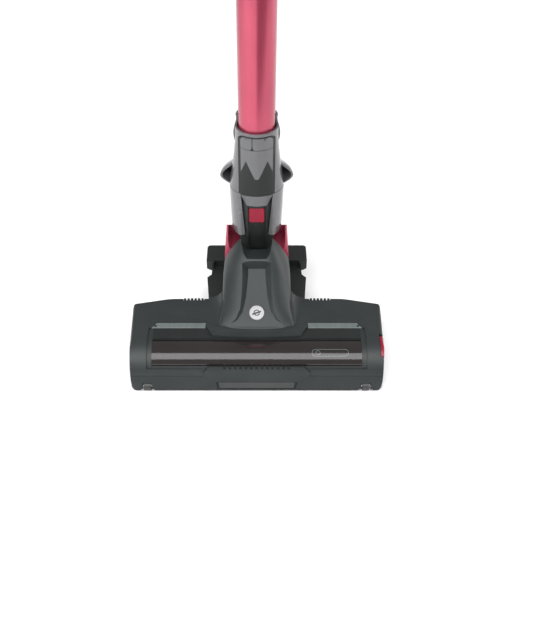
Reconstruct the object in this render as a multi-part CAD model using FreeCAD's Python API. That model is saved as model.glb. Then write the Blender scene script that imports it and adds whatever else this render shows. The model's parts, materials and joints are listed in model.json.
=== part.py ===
"""Powered floor head of a stick vacuum cleaner, with swivel neck and wand.

Part frame, in millimetres: +X to the head's right end, front towards -Y, +Z up.
The origin is on the floor, under the middle of the head's length and depth.
"""
import FreeCAD, Part
import math
import os

from FreeCAD import Vector as V

# ---------------------------------------------------------------- driving dimensions
# floor head
head_width = 256.0          # over the rear corners
end_taper = 5.0             # each end stands this much further in at the front corners
end_lean = 0.5              # each end leans in this much from ridge to deck
end_round = 4.0             # round between the ends and the deck
corner_round = 5.0          # plan corners
front_y = -87.0             # foot of the front wall
ridge_y = -81.5             # ridge where upper and lower housings meet
ridge_z = 18.0
nose_low = (-79.5, 24.5)    # lower end of the curved nose, as (y, z)
nose_drop = (-67.5, 4.6)    # middle of the nose: its y, and how far it lies under the deck
deck_z = 41.0               # height of the deck
brow_y = -46.0              # front edge of the deck
brow_rise = 0.5             # the deck rises this much towards its front edge
rear_round = 4.0            # round of the deck's rear edge
rear_mid_y = 8.0            # rear wall, middle stretch
rear_mid_half = 78.0        # half length of that stretch
rear_corner_y = -3.0        # rear wall at the ends
base_z = 5.0                # underside of the lower housing
wall = 2.2                  # moulded wall
seam_gap = 0.15             # between two mouldings that meet

# brush roll, window and the sunk field round the window
brush_y = -58.0
brush_z = ridge_z
window_r = deck_z - brush_z - 1.4
window_wall = 1.8
window_half = head_width / 2 - 25.8
window_front_y = -76.2
window_rear_y = -53.0
bristle_r = window_r - 4.0
core_r = bristle_r - 6.6
core_half = window_half - 2.0
core_shaft_r = 3.0
strip_count = 4
strip_width = 3.2
tuft_count = 10             # lengths of bristle in one row
tuft_step = 9.0             # turn between neighbouring lengths, in degrees
recess_depth = 1.2
recess_half = window_half + 5.2
recess_front_y = -79.0
recess_rear_y = -38.0
surround_depth = 0.5        # top of the dark inlay behind the window, under the deck
lens_gap = 0.2              # inserts in their openings

# light strips
light_inner_x = 51.0
light_rear_x = window_half - 1.6     # outer end at the rear edge
light_front_x = window_half + 3.0    # outer end at the front edge
light_front_y = -38.0
light_rear_y = -30.5
light_depth = 1.6

# end latch over the brush roll's right end
latch_thick = 3.8
latch_front_y = -70.5
latch_rear_y = -50.5
latch_low_z = base_z + 11.0
latch_travel = 4.0
latch_proud = 0.3

# dome: stations along Y as (y, half width, height over the deck, flare at the foot)
dome_rear_y = 33.0
dome_wall = 2.4
dome_stations = (
    (-46.0, 40.0, -1.0, 5.0),
    (-38.0, 38.5, 6.2, 7.0),
    (-30.0, 36.5, 14.2, 7.0),
    (-22.0, 35.2, 21.0, 6.0),
    (-12.0, 34.7, 29.4, 4.0),
    (0.0, 34.8, 39.6, 3.0),
    (12.0, 34.7, 50.3, 2.5),
    (22.0, 34.4, 57.2, 2.2),
    (dome_rear_y, 34.0, 61.4, 2.0),
)
# right half of the dome's arch, as shares of its half width and of its height over the curl
dome_arch = ((0.975, 0.17), (0.84, 0.45), (0.69, 0.67), (0.50, 0.87), (0.27, 0.975))
dome_foot_z = deck_z - 7.0
dome_skirt = 3.0            # upright margin under the foot, inside the head
dome_floor_z = deck_z - 0.8  # underside of the dome behind the head's rear wall
# rounded foot between dome and deck: stations as (y, half width, radius)
foot_stations = (
    (-37.5, 37.5, 0.8),
    (-31.0, 36.8, 4.0),
    (-22.0, 35.3, 8.5),
    (-10.0, 34.7, 12.5),
    (rear_mid_y, 34.8, 14.5),
)
# channel: stations along Y as (y, half width of floor, half width at the rim, floor over the deck)
channel_stations = (
    (-46.0, 45.0, 52.0, 1.4),
    (-39.0, 31.0, 38.0, 3.4),
    (-34.0, 19.5, 27.0, 7.0),
    (-27.0, 14.0, 20.5, 11.9),
    (-14.0, 10.7, 17.4, 20.5),
    (2.0, 8.8, 16.2, 32.5),
    (9.0, 8.6, 15.6, 37.6),
)
channel_rim = 9.0           # height over which the channel's sides lean out
# skirt: low step in front of the dome
skirt_front_y = -52.0
skirt_bow = 1.8             # the front edge is bowed forward by this much
skirt_front_half = 43.4
skirt_wide_y = -37.6
skirt_wide_half = 50.2
skirt_rear_y = -31.0
skirt_rise = (1.9, 2.5)     # height over the deck at the front edge and at the widest place

badge_r = 7.3
badge_thick = 1.4
badge_proud = 1.0
badge_y = -28.0
badge_slope = 34.5          # slope of the channel's floor there, in degrees

# swivel: pitch hinge behind the wand, roll pin through the cup's rear wall
wand_y = 57.0
pitch_y = wand_y + 17.0
pitch_z = 33.0
drum_r = 13.0
drum_half = 29.0
hinge_pin_r = 4.0
run_gap = 0.05              # radial clearance of a pin in its bore
side_gap = 0.5              # between a turning piece and its cheek
roll_z = 90.0
roll_pin_r = 5.0
pin_head_r = 8.0
barrel_r = 17.5
barrel_front_y = wand_y - 15.5
barrel_top_z = roll_z + 6.8
cup_wall_y = wand_y + 17.0  # inner face of the cup's rear wall
cup_rear_y = cup_wall_y + 7.0
cup_top_z = 98.3
cup_slope = 0.735           # the rim falls by this share behind the wand's axis
boss_r = 9.4                # boss in the cup's rear wall
boss_gap = 0.8

# rear arms
arm_front_half = 50.2
arm_outer_x = 53.2
arm_notch_x = 48.2          # depth of the notch in front of the hinge block
arm_low_z = 20.5
arm_top_z = 39.5
arm_notch_y = 42.0
block_outer_x = 54.6
block_cap_z = 36.6          # underside of the block's outer cap
block_top_z = 48.0
block_round = 4.0
block_front_y = pitch_y - 13.8
block_rear_y = pitch_y + 13.0

# ribbed grips on the rear edge of the deck
grip_inner_x = 54.6
grip_outer_x = 76.4
grip_rib_count = 6
grip_rib_share = 0.62       # width of a rib as a share of the pitch
grip_low = 5.4              # the grip reaches this far under the deck
grip_deep = 4.6             # and this far in front of the rear wall
grip_proud = 0.25

# wheels
wheel_r = 9.5
wheel_half = 6.0
wheel_x = drum_half + 13.5
wheel_y = 66.0
wheel_axle_r = 2.0
tyre_thick = 2.0
roller_r = 5.0
roller_half = 3.4
roller_x = window_half + 5.0
roller_y = -82.0
roller_axle_r = 1.5
axle_half = 6.5             # half length of a roller axle

# drive at the left end
motor_y = -12.0
motor_z = 21.5
motor_r = 13.0
motor_right_x = -40.0
motor_left_x = 10.0 - window_half
motor_shaft_r = 2.0
pulley_inner_x = window_half + 7.5
pulley_outer_x = pulley_inner_x + 7.0
brush_pulley_r = 9.0
motor_pulley_r = 6.0
belt_thick = 1.6
plate_x = window_half + 2.4  # inner face of a bearing plate
plate_thick = 3.0
bush_r = 6.0

# ducts
port_half = 22.0            # opening from the chamber into the duct
duct_half = 23.8
duct_wall = 2.0

# neck and collar: stations as (z, half width, half depth)
seam_z = 148.5              # seam between neck and collar
neck_foot_z = 97.0
neck_low = ((neck_foot_z, 25.3, 21.6), (124.0, 26.2, 22.3), (seam_z, 26.9, 22.9))
collar_foot_z = seam_z + 0.3
wand_r = 17.25
collar_r = wand_r + 3.35
collar_stations = ((collar_foot_z, 26.9, 22.9), (172.0, wand_r + 6.4, 21.8), (196.0, wand_r + 3.7, wand_r + 3.5),
                   (213.0, collar_r, collar_r))
prong_top_z = 223.0
prong_r = wand_r + 2.5      # outside of the two prongs that rise from the rear half
neck_wall = 2.2
core_gap = 0.3              # between the neck's shell and its inner duct
core_wall = 3.5
lobe_r = 7.2
lobe_x = 18.4
slot_half = (11.4, 15.7)    # half width of the slot between the lobes, at foot and seam
spine_half = 8.5
spine_foot_z = 84.0
spine_top_z = 137.0
spine_proud = 1.0
spine_rail = 0.9            # light rail along each edge of the spine
chevron_half = (9.6, 15.4)  # half width at the foot and at the seam
panel_half = 17.0
panel_top_z = 209.8
panel_round = 6.0
button_half = 7.6
button_low_z = 118.0
button_top_z = 134.5
button_travel = 2.5
button_proud = 1.3
button_thick = 4.6
saddle_rear_z = spine_foot_z + 0.5   # floor of the notch in the dome's rear rim
saddle_rise = 0.238

# wand
wand_wall = 1.2
wand_low_z = 160.0
wand_top_z = 670.0
sleeve_top_z = 240.0
socket_low_z = wand_top_z - 20.0
socket_top_z = wand_top_z + 45.0
socket_r = wand_r + 3.55
bore_r = wand_r - 1.25
bore_length = 42.0
catch_half = 6.0
catch_low_z = wand_top_z + 2.3
catch_top_z = wand_top_z + 29.7
contact_x = 3.0
contact_r = 1.2

os.makedirs("parts", exist_ok=True)


# ---------------------------------------------------------------- shape helpers
def box(x0, x1, y0, y1, z0, z1):
    return Part.makeBox(x1 - x0, y1 - y0, z1 - z0, V(x0, y0, z0))


def rod_x(x0, x1, y, z, r):
    return Part.makeCylinder(r, x1 - x0, V(x0, y, z), V(1, 0, 0))


def rod_y(y0, y1, x, z, r):
    return Part.makeCylinder(r, y1 - y0, V(x, y0, z), V(0, 1, 0))


def rod_z(z0, z1, x, y, r):
    return Part.makeCylinder(r, z1 - z0, V(x, y, z0), V(0, 0, 1))


def prism_x(points, x0, x1):
    """Outline of (y, z) points, extruded from x0 to x1."""
    loop = [V(x0, y, z) for y, z in points]
    return Part.Face(Part.makePolygon(loop + loop[:1])).extrude(V(x1 - x0, 0, 0))


def prism_y(points, y0, y1):
    """Outline of (x, z) points, extruded from y0 to y1."""
    loop = [V(x, y0, z) for x, z in points]
    return Part.Face(Part.makePolygon(loop + loop[:1])).extrude(V(0, y1 - y0, 0))


def prism_z(points, z0, z1):
    """Outline of (x, y) points, extruded from z0 to z1."""
    loop = [V(x, y, z0) for x, y in points]
    return Part.Face(Part.makePolygon(loop + loop[:1])).extrude(V(0, 0, z1 - z0))


def upright_edges(shape):
    return [e for e in shape.Edges if abs(e.tangentAt(e.FirstParameter).z) > 0.999]


def tube_x(x0, x1, y, z, outer, inner):
    return rod_x(x0, x1, y, z, outer).cut(rod_x(x0 - 1, x1 + 1, y, z, inner))


def tube_y(y0, y1, x, z, outer, inner):
    return rod_y(y0, y1, x, z, outer).cut(rod_y(y0 - 1, y1 + 1, x, z, inner))


def tube_z(z0, z1, x, y, outer, inner):
    return rod_z(z0, z1, x, y, outer).cut(rod_z(z0 - 1, z1 + 1, x, y, inner))


def fuse_all(shapes):
    return shapes[0].multiFuse(shapes[1:]).removeSplitter() if len(shapes) > 1 else shapes[0]


def mirror_x(shape):
    return shape.mirror(V(0, 0, 0), V(1, 0, 0))


def save(node, shape):
    solids = shape.Solids
    solid = solids[0] if len(solids) == 1 else Part.makeCompound(solids)
    if not solids or not solid.isValid():
        raise ValueError("no valid solid in " + node)
    solid.exportStep("parts/" + node + ".step")


def save_pair(name, right):
    save(name + "_right", right)
    save(name + "_left", mirror_x(right))


def save_set(name, right):
    """Two like pieces, one at each side, in one node."""
    save(name, Part.makeCompound([right, mirror_x(right)]))


# ---------------------------------------------------------------- head envelope
def end_half(y):
    """Half width of the head at ridge height."""
    share = (y - rear_corner_y) / (rear_corner_y - front_y)
    return head_width / 2 + share * end_taper


def end_wire(y, t):
    """Outline across the head at y, with rounded shoulders, drawn in by t."""
    half = end_half(y)
    top_half = half - end_lean
    crown = deck_z + brow_rise + 0.1
    low = -9.0
    s = end_round * (1 - math.sqrt(0.5))
    wire = Part.Wire([
        Part.makeLine(V(-half, y, low), V(half, y, low)),
        Part.makeLine(V(half, y, low), V(half, y, ridge_z)),
        Part.makeLine(V(half, y, ridge_z), V(top_half, y, crown - end_round)),
        Part.Arc(V(top_half, y, crown - end_round), V(top_half - s, y, crown - s),
                 V(top_half - end_round, y, crown)).toShape(),
        Part.makeLine(V(top_half - end_round, y, crown), V(-top_half + end_round, y, crown)),
        Part.Arc(V(-top_half + end_round, y, crown), V(-top_half + s, y, crown - s),
                 V(-top_half, y, crown - end_round)).toShape(),
        Part.makeLine(V(-top_half, y, crown - end_round), V(-half, y, ridge_z)),
        Part.makeLine(V(-half, y, ridge_z), V(-half, y, low)),
    ])
    return wire.makeOffset2D(-t) if t else wire


def head_block(t):
    """The head's outside without its dome, drawn in by t."""
    brow_z = deck_z + brow_rise
    s = rear_round * (1 - math.sqrt(0.5))
    nose_mid = V(0, nose_drop[0], deck_z - nose_drop[1])
    side = Part.Wire([
        Part.makeLine(V(0, front_y, 0), V(0, rear_mid_y, 0)),
        Part.makeLine(V(0, rear_mid_y, 0), V(0, rear_mid_y, deck_z - rear_round)),
        Part.Arc(V(0, rear_mid_y, deck_z - rear_round), V(0, rear_mid_y - s, deck_z - s),
                 V(0, rear_mid_y - rear_round, deck_z)).toShape(),
        Part.makeLine(V(0, rear_mid_y - rear_round, deck_z), V(0, brow_y, brow_z)),
        Part.Arc(V(0, brow_y, brow_z), nose_mid, V(0, nose_low[0], nose_low[1])).toShape(),
        Part.makeLine(V(0, nose_low[0], nose_low[1]), V(0, ridge_y, ridge_z)),
        Part.makeLine(V(0, ridge_y, ridge_z), V(0, front_y, base_z)),
        Part.makeLine(V(0, front_y, base_z), V(0, front_y, 0)),
    ])
    front_half = end_half(front_y)
    rear_half = end_half(rear_corner_y)
    plan = prism_z([(-front_half, front_y), (front_half, front_y), (rear_half, rear_corner_y),
                    (rear_mid_half, rear_mid_y), (-rear_mid_half, rear_mid_y), (-rear_half, rear_corner_y)],
                   -9, deck_z + 19)
    plan = plan.makeFillet(corner_round, upright_edges(plan)[:])
    if t:
        side = side.makeOffset2D(-t)
        floor_wire = [f for f in plan.Faces if f.normalAt(0, 0).z < -0.9][0].OuterWire
        plan = Part.Face(floor_wire.makeOffset2D(-t)).extrude(V(0, 0, deck_z + 29))
    side_solid = Part.Face(side).extrude(V(head_width + 20, 0, 0))
    side_solid.translate(V(-head_width / 2 - 10, 0, 0))
    end_solid = Part.makeLoft([end_wire(-130.0, t), end_wire(70.0, t)], True, True)
    return side_solid.common(end_solid).common(plan)


def dome_section(y, half, rise, flare, t):
    """Arched section at y: flared foot, upright side, rounded crown."""
    half = half - t
    top = deck_z + rise - t
    curl = dome_foot_z + (top - dome_foot_z) * 0.45
    right = [(half + flare, dome_foot_z), (half + flare * 0.28, dome_foot_z + (curl - dome_foot_z) * 0.42),
             (half, curl)]
    right += [(half * a, curl + (top - curl) * b) for a, b in dome_arch]
    points = [V(x, y, z) for x, z in right]
    points += [V(0, y, top)]
    points += [V(-x, y, z) for x, z in reversed(right)]
    arch = Part.BSplineCurve()
    arch.interpolate(points)
    right_low = V(half + flare, y, dome_foot_z - dome_skirt)
    left_low = V(-half - flare, y, dome_foot_z - dome_skirt)
    return Part.Wire([Part.makeLine(left_low, right_low), Part.makeLine(right_low, points[0]),
                      arch.toShape(), Part.makeLine(points[-1], left_low)])


def dome_solid(t):
    return Part.makeLoft([dome_section(*station, t) for station in dome_stations], True, False)


def dome_foot():
    """Hollow curve between the dome's sides and the deck."""
    wires = []
    for y, half, radius in foot_stations:
        s = radius * (1 - math.sqrt(0.5))
        low = deck_z - 3.0
        arc_low = V(half + radius, y, deck_z)
        arc_high = V(half, y, deck_z + radius)
        right = [V(half + radius, y, low), arc_low, V(half + s, y, deck_z + s), arc_high]
        left = [V(-p.x, p.y, p.z) for p in right]
        wires.append(Part.Wire([
            Part.makeLine(left[0], right[0]), Part.makeLine(right[0], right[1]),
            Part.Arc(right[1], right[2], right[3]).toShape(), Part.makeLine(right[3], left[3]),
            Part.Arc(left[3], left[2], left[1]).toShape(), Part.makeLine(left[1], left[0])]))
    return Part.makeLoft(wires, True, False)


def skirt_solid():
    """Low step in front of the dome, with a bowed front edge."""
    corner_y = skirt_front_y + skirt_bow
    plan = Part.Wire([
        Part.Arc(V(-skirt_front_half, corner_y, 0), V(0, skirt_front_y, 0),
                 V(skirt_front_half, corner_y, 0)).toShape(),
        Part.makeLine(V(skirt_front_half, corner_y, 0), V(skirt_wide_half, skirt_wide_y, 0)),
        Part.makeLine(V(skirt_wide_half, skirt_wide_y, 0), V(skirt_wide_half - 3, skirt_rear_y, 0)),
        Part.makeLine(V(skirt_wide_half - 3, skirt_rear_y, 0), V(-skirt_wide_half + 3, skirt_rear_y, 0)),
        Part.makeLine(V(-skirt_wide_half + 3, skirt_rear_y, 0), V(-skirt_wide_half, skirt_wide_y, 0)),
        Part.makeLine(V(-skirt_wide_half, skirt_wide_y, 0), V(-skirt_front_half, corner_y, 0)),
    ])
    column = Part.Face(plan).extrude(V(0, 0, deck_z + 20))
    low = deck_z - 3.0
    profile = prism_x([(skirt_front_y - 1, low), (skirt_front_y - 1, deck_z + skirt_rise[0]),
                       (skirt_wide_y, deck_z + skirt_rise[1]), (skirt_rear_y, deck_z - 0.3), (skirt_rear_y, low)],
                      -skirt_wide_half - 5, skirt_wide_half + 5)
    return profile.common(column)


def dome_cuts(t):
    """Channel down the dome's front and notch in its rear rim, both drawn out by t."""
    wires = []
    last_y = channel_stations[-1][0]
    for y, half, rim_half, rise in channel_stations:
        low = deck_z + rise - t
        y = y + t if y == last_y else y
        right = [(half + t, low), (rim_half + t, low + channel_rim), (rim_half + t + 1, low + 3 * channel_rim)]
        points = [V(x, y, z) for x, z in right] + [V(-x, y, z) for x, z in reversed(right)]
        wires.append(Part.makePolygon(points + points[:1]))
    channel = Part.makeLoft(wires, True, True)
    notch = []
    for y in (-10.0, dome_rear_y + 7.0):
        low = saddle_rear_z + (dome_rear_y - y) * saddle_rise - t
        right = [(spine_half + 1.4 + t, low), (spine_half + 4.8 + t, low + 4), (spine_half + 7 + t, low + 11),
                 (spine_half + 8.5 + t, low + 40)]
        points = [V(x, y, z) for x, z in right] + [V(-x, y, z) for x, z in reversed(right)]
        notch.append(Part.makePolygon(points + points[:1]))
    return channel, Part.makeLoft(notch, True, True)


def ellipse_loft(stations, shrink):
    """Loft of upright ellipses about the wand's axis, drawn in by shrink."""
    wires = []
    for z, half_x, half_y in stations:
        ring = Part.Ellipse(V(0, wand_y, z), half_x - shrink, half_y - shrink)
        wires.append(Part.Wire(ring.toShape()))
    return Part.makeLoft(wires, True, False)


outer_block = head_block(0)
inner_block = head_block(wall)
outer_dome = dome_solid(0)
skirt = skirt_solid()


# ---------------------------------------------------------------- head: shells
def light_outline(side, gap):
    """Plan of a light strip: square inner end, slanted outer end."""
    points = [(light_inner_x - gap, light_front_y - gap), (light_front_x + gap, light_front_y - gap),
              (light_rear_x + gap, light_rear_y + gap), (light_inner_x - gap, light_rear_y + gap)]
    return prism_z([(side * x, y) for x, y in points], deck_z - 11, deck_z + 9)


def build_upper_housing():
    shell = outer_block.fuse([outer_dome, dome_foot(), skirt]).cut(inner_block)
    hollow = dome_solid(dome_wall)
    for tool in dome_cuts(dome_wall):
        hollow = hollow.cut(tool)
    hollow = hollow.common(box(-60, 60, -44, dome_rear_y - dome_wall, 0, 140))
    shell = shell.cut(hollow)
    shell = shell.cut(box(-60, 60, rear_mid_y, 60, 0, dome_floor_z))
    floor = dome_solid(0.6).common(box(-60, 60, rear_mid_y - 2, dome_rear_y, dome_floor_z, dome_floor_z + 2))
    shell = shell.fuse(floor)
    shell = shell.common(box(-140, 140, -100, 60, ridge_z + seam_gap, 150))
    sunk = box(-recess_half, recess_half, recess_front_y, recess_rear_y, 20, 60)
    skin = outer_block.cut(head_block(recess_depth))
    shell = shell.cut(skin.common(sunk).cut(outer_dome).cut(skirt))
    opening = box(-window_half - lens_gap, window_half + lens_gap,
                  window_front_y - lens_gap, window_rear_y + lens_gap, ridge_z, 60)
    shell = shell.cut(opening)
    bed = head_block(light_depth + lens_gap)
    for side in (-1, 1):
        shell = shell.cut(light_outline(side, lens_gap).cut(bed).cut(outer_dome).cut(skirt))
        shell = shell.cut(grip_bed(side))
    for tool in dome_cuts(0):
        shell = shell.cut(tool)
    rear_port = rod_y(dome_rear_y - 6, dome_rear_y + 2, 0, deck_z + 21, 6.0)
    shell = shell.cut(rear_port)
    shell = shell.cut(front_pocket()).cut(badge_tool(seam_gap))
    shell = shell.cut(latch_block(0.3, latch_travel)).cut(duct_port())
    return max(shell.Solids, key=lambda s: s.Volume)


def front_pocket():
    """Pocket across the front for the centre panel and its bumper."""
    outline = prism_y(panel_face(0.3) + [(37.6, 3), (-37.6, 3)], -100, -60)
    return outline.cut(head_block(1.4))


def panel_face(gap):
    """Outline of the front panel as (x, z), from its lower left corner over the top."""
    top_z = ridge_z + 9.3 + gap
    return [(-39.5 - gap, ridge_z - 5.4), (-52.0 - gap, ridge_z + 0.5), (-52.0 - gap, ridge_z + 4.5 + gap),
            (-46.0 - gap, top_z), (46.0 + gap, top_z), (52.0 + gap, ridge_z + 4.5 + gap),
            (52.0 + gap, ridge_z + 0.5), (39.5 + gap, ridge_z - 5.4)]


def badge_tool(gap):
    """Disc seated square on the floor of the channel, with the given gap round it."""
    slope = math.radians(badge_slope)
    normal = V(0, -math.sin(slope), math.cos(slope))
    (y0, _, _, low), (y1, _, _, high) = channel_stations[2:4]
    seat = V(0, badge_y, deck_z + low + (high - low) * (badge_y - y0) / (y1 - y0))
    start = seat - normal * (badge_thick + gap)
    return Part.makeCylinder(badge_r + gap, badge_thick + gap + (8 if gap else badge_proud), start, normal)


def duct_port():
    """Opening in the rear wall for the suction duct."""
    return box(-duct_half - 0.4, duct_half + 0.4, rear_mid_y - 8, rear_mid_y + 4, 6, 36.3)


def grip_bed(side):
    x0, x1 = sorted((side * (grip_inner_x - 0.1), side * (grip_outer_x + 0.1)))
    return box(x0, x1, rear_mid_y - grip_deep - 0.1, rear_mid_y + 2, deck_z - grip_low - 0.1, deck_z + 2)


def build_lower_housing():
    shell = outer_block.cut(inner_block)
    bosses = []
    for side in (-1, 1):
        boss = box(side * roller_x - 7.5, side * roller_x + 7.5, front_y, roller_y + 5.5, base_z, 12)
        bosses.append(boss.common(outer_block))
    shell = shell.fuse(bosses)
    shell = shell.common(box(-140, 140, -100, 60, base_z, ridge_z - seam_gap))
    shell = shell.cut(front_pocket())
    for side in (-1, 1):
        x = side * roller_x
        shell = shell.cut(rod_x(x - axle_half, x + axle_half, roller_y, roller_r, roller_axle_r))
        shell = shell.cut(rod_x(x - roller_half - 1.2, x + roller_half + 1.2, roller_y, roller_r, roller_r + 1.2))
    shell = shell.cut(latch_block(0.3, latch_travel)).cut(duct_port())
    return max(shell.Solids, key=lambda s: s.Volume)


def build_window():
    ring = tube_x(-window_half, window_half, brush_y, brush_z, window_r, window_r - window_wall)
    return ring.common(box(-window_half, window_half, window_front_y, window_rear_y, brush_z + 5, 60))


def build_surround():
    """Dark inlay on the sunk field, behind the window."""
    plate = head_block(surround_depth).cut(head_block(recess_depth - 0.02))
    plate = plate.common(box(-window_half, window_half, window_rear_y + 0.6, recess_rear_y - 0.5, 20, 60))
    plate = plate.cut([skirt, dome_foot(), dome_solid(-0.2)])
    return Part.makeCompound([s for s in plate.Solids if s.Volume > 20])


def build_light_strip():
    strip = light_outline(1, 0).common(head_block(0.1)).cut(head_block(light_depth))
    return max(strip.cut(dome_solid(-0.2)).Solids, key=lambda s: s.Volume)


def build_front_panel():
    """Centre panel with a toothed upper edge, seated in the front pocket."""
    outline = prism_y(panel_face(0), -100, -60)
    outline = outline.common(box(-60, 60, -100, window_front_y - 0.5, 0, 60))
    panel = outline.common(head_block(-0.7)).cut(head_block(1.3))
    tooth_count = 13
    pitch = 5.2
    top_z = ridge_z + 9.3
    for index in range(tooth_count):
        x = (index - (tooth_count - 1) / 2) * pitch
        panel = panel.cut(prism_y([(x - 1.3, top_z + 3), (x - 1.3, top_z - 1.6), (x + 1.3, top_z - 1.6),
                                   (x + 1.3, top_z + 3)], -100, -60))
    return max(panel.Solids, key=lambda s: s.Volume)


def build_bumper():
    outline = prism_y([(-37.2, ridge_z - 5.9), (37.2, ridge_z - 5.9), (36.2, 6.6), (-36.2, 6.6)], -100, -60)
    return outline.common(head_block(-0.9)).cut(head_block(1.3))


def build_badge():
    return badge_tool(0)


def build_sole_plate():
    plate = head_block(0.8).common(box(-140, 140, -100, 60, 2.6, base_z - 0.05))
    slot_half = window_half + 2.0
    plate = plate.cut(box(-slot_half, slot_half, brush_y - bristle_r - 1.9, brush_y + bristle_r + 1.9, 0, 9))
    for side in (-1, 1):
        x = side * roller_x
        plate = plate.cut(box(x - axle_half - 0.2, x + axle_half + 0.2, roller_y - 7.5, roller_y + 6.5, 0, 9))
    for x, y in screw_places():
        plate = plate.cut(rod_z(0, 9, x, y, 1.7))
    return plate


def screw_places():
    end_x = head_width / 2 - 7.8
    return [(x, y) for x in (-end_x, end_x) for y in (-55.0, -16.0)] + [(-70.0, -2.0), (70.0, -2.0)]


def build_sole_screws():
    screws = []
    for x, y in screw_places():
        shank = rod_z(2.7, 11.5, x, y, 1.5)
        screws.append(shank.cut(box(x - 0.9, x + 0.9, y - 0.3, y + 0.3, 2, 3.4)))
    return Part.makeCompound(screws)


def build_squeegee():
    lip_y = brush_y + bristle_r + 2.5
    lips = [box(-window_half, window_half, lip_y, lip_y + 2.5, 0.6, 2.55),
            box(-window_half, window_half, lip_y + 3.9, lip_y + 4.9, 1.2, 2.55)]
    return Part.makeCompound(lips)


def build_chamber():
    """Liner behind the brush: half a tube with a port in the middle."""
    liner_half = window_half + 2.0
    rear_y = brush_y + bristle_r + 10.4
    ring = tube_x(-liner_half, liner_half, brush_y, brush_z, bristle_r + 3.3, bristle_r + 1.8)
    keep = prism_x([(-50.0, base_z + 0.3), (rear_y, base_z + 0.3), (rear_y, 33.5), (-50.0, 33.5)],
                   -liner_half, liner_half)
    return ring.common(keep).cut(box(-port_half, port_half, -45, rear_y, 8, 28))


def build_duct():
    """Suction duct from the chamber's port to the rear wall."""
    start = brush_y + bristle_r + 4.0
    outer = box(-duct_half, duct_half, start, rear_mid_y + 1.5, 7.2, 30)
    inner_half = duct_half - duct_wall
    return outer.cut(box(-inner_half, inner_half, start - 4, rear_mid_y + 4, 7.2 + duct_wall, 30 - duct_wall))


def build_rear_duct():
    """Duct from the rear wall to the hinge drum, hugging the drum."""
    outer = box(-duct_half, duct_half, rear_mid_y + 1.7, pitch_y - 8, 16.5, 36)
    inner_half = duct_half - 3.0
    duct = outer.cut(box(-inner_half, inner_half, 5, pitch_y - 4, 19.0, 33.5))
    return duct.cut(rod_x(-40, 40, pitch_y, pitch_z, drum_r + side_gap))


def build_arm():
    """Rear arm with its hinge block, wheel arch and bores."""
    inner_x = drum_half + side_gap + 0.3
    beam = prism_z([(inner_x, rear_mid_y + 0.1), (arm_front_half, rear_mid_y + 0.1), (arm_outer_x, arm_notch_y),
                    (arm_notch_x + 0.6, arm_notch_y + 4.4), (arm_notch_x, block_front_y + 2),
                    (inner_x, block_front_y + 2)], arm_low_z, arm_top_z)
    block = box(inner_x, arm_notch_x, block_front_y, block_rear_y, arm_low_z, block_top_z)
    cap = prism_z([(arm_notch_x - 2, block_front_y - 4), (arm_notch_x, block_front_y - 4),
                   (block_outer_x, block_front_y), (block_outer_x, block_rear_y),
                   (arm_notch_x - 2, block_rear_y)], block_cap_z, block_top_z)
    block = block.fuse(cap).removeSplitter()
    rounded = [e for e in upright_edges(block)
               if e.CenterOfMass.x > block_outer_x - 0.1 and e.CenterOfMass.y > block_rear_y - 0.1]
    block = block.makeFillet(block_round, rounded)
    arm = beam.fuse(block).removeSplitter()
    cheek = prism_x([(wheel_y - 7, arm_low_z + 1.5), (wheel_y - 4, 5), (wheel_y + 4, 5),
                     (wheel_y + 7, arm_low_z + 1.5)], inner_x, inner_x + 4.5)
    arm = arm.fuse(cheek).removeSplitter()
    arm = arm.cut(rod_x(0, arm_notch_x - 2.0, pitch_y, pitch_z, hinge_pin_r))
    return arm.cut(rod_x(0, 80, wheel_y, wheel_r, wheel_axle_r))


def build_hinge_pin():
    return rod_x(drum_half - 9, arm_notch_x - 2.2, pitch_y, pitch_z, hinge_pin_r)


def build_wheel_axle():
    x0 = drum_half + side_gap + 0.3
    shank = rod_x(x0, wheel_x + wheel_half + 1.6, wheel_y, wheel_r, wheel_axle_r)
    head = rod_x(wheel_x + wheel_half + side_gap, wheel_x + wheel_half + 1.6, wheel_y, wheel_r, 3.4)
    return shank.fuse(head)


def build_wheel():
    hub = rod_x(wheel_x - wheel_half, wheel_x + wheel_half, wheel_y, wheel_r, wheel_r - tyre_thick)
    return hub.cut(rod_x(0, 80, wheel_y, wheel_r, wheel_axle_r + run_gap))


def build_tyre():
    return tube_x(wheel_x - wheel_half + 0.6, wheel_x + wheel_half - 0.6, wheel_y, wheel_r,
                  wheel_r, wheel_r - tyre_thick)


def build_roller():
    roller = rod_x(roller_x - roller_half, roller_x + roller_half, roller_y, roller_r, roller_r)
    return roller.cut(rod_x(90, 125, roller_y, roller_r, roller_axle_r + run_gap))


def build_roller_axle():
    return rod_x(roller_x - 6.5, roller_x + 6.5, roller_y, roller_r, roller_axle_r)


def build_light_board():
    return box(light_inner_x + 2, light_rear_x - 2, -37, -31, deck_z - 6.5, deck_z - 5.0)


def build_control_board():
    low = deck_z + 3.0
    top = low + 1.6
    board = box(-22, 22, -6, 24, low, top)
    return fuse_all([board, box(-16, -6, 4, 14, top, top + 6.4), box(4, 16, 2, 12, top, top + 4.4)])


def build_motor():
    can = rod_x(motor_left_x, motor_right_x, motor_y, motor_z, motor_r)
    can = can.fuse(rod_x(motor_left_x - 2, motor_left_x, motor_y, motor_z, 5.0))
    return can.cut(rod_x(motor_left_x - 4, motor_right_x + 2, motor_y, motor_z, motor_shaft_r + run_gap))


def build_motor_shaft():
    return rod_x(-pulley_outer_x - 0.5, motor_right_x + 1.5, motor_y, motor_z, motor_shaft_r)


def build_motor_pulley():
    return tube_x(-pulley_outer_x, -pulley_inner_x, motor_y, motor_z, motor_pulley_r, motor_shaft_r)


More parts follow.
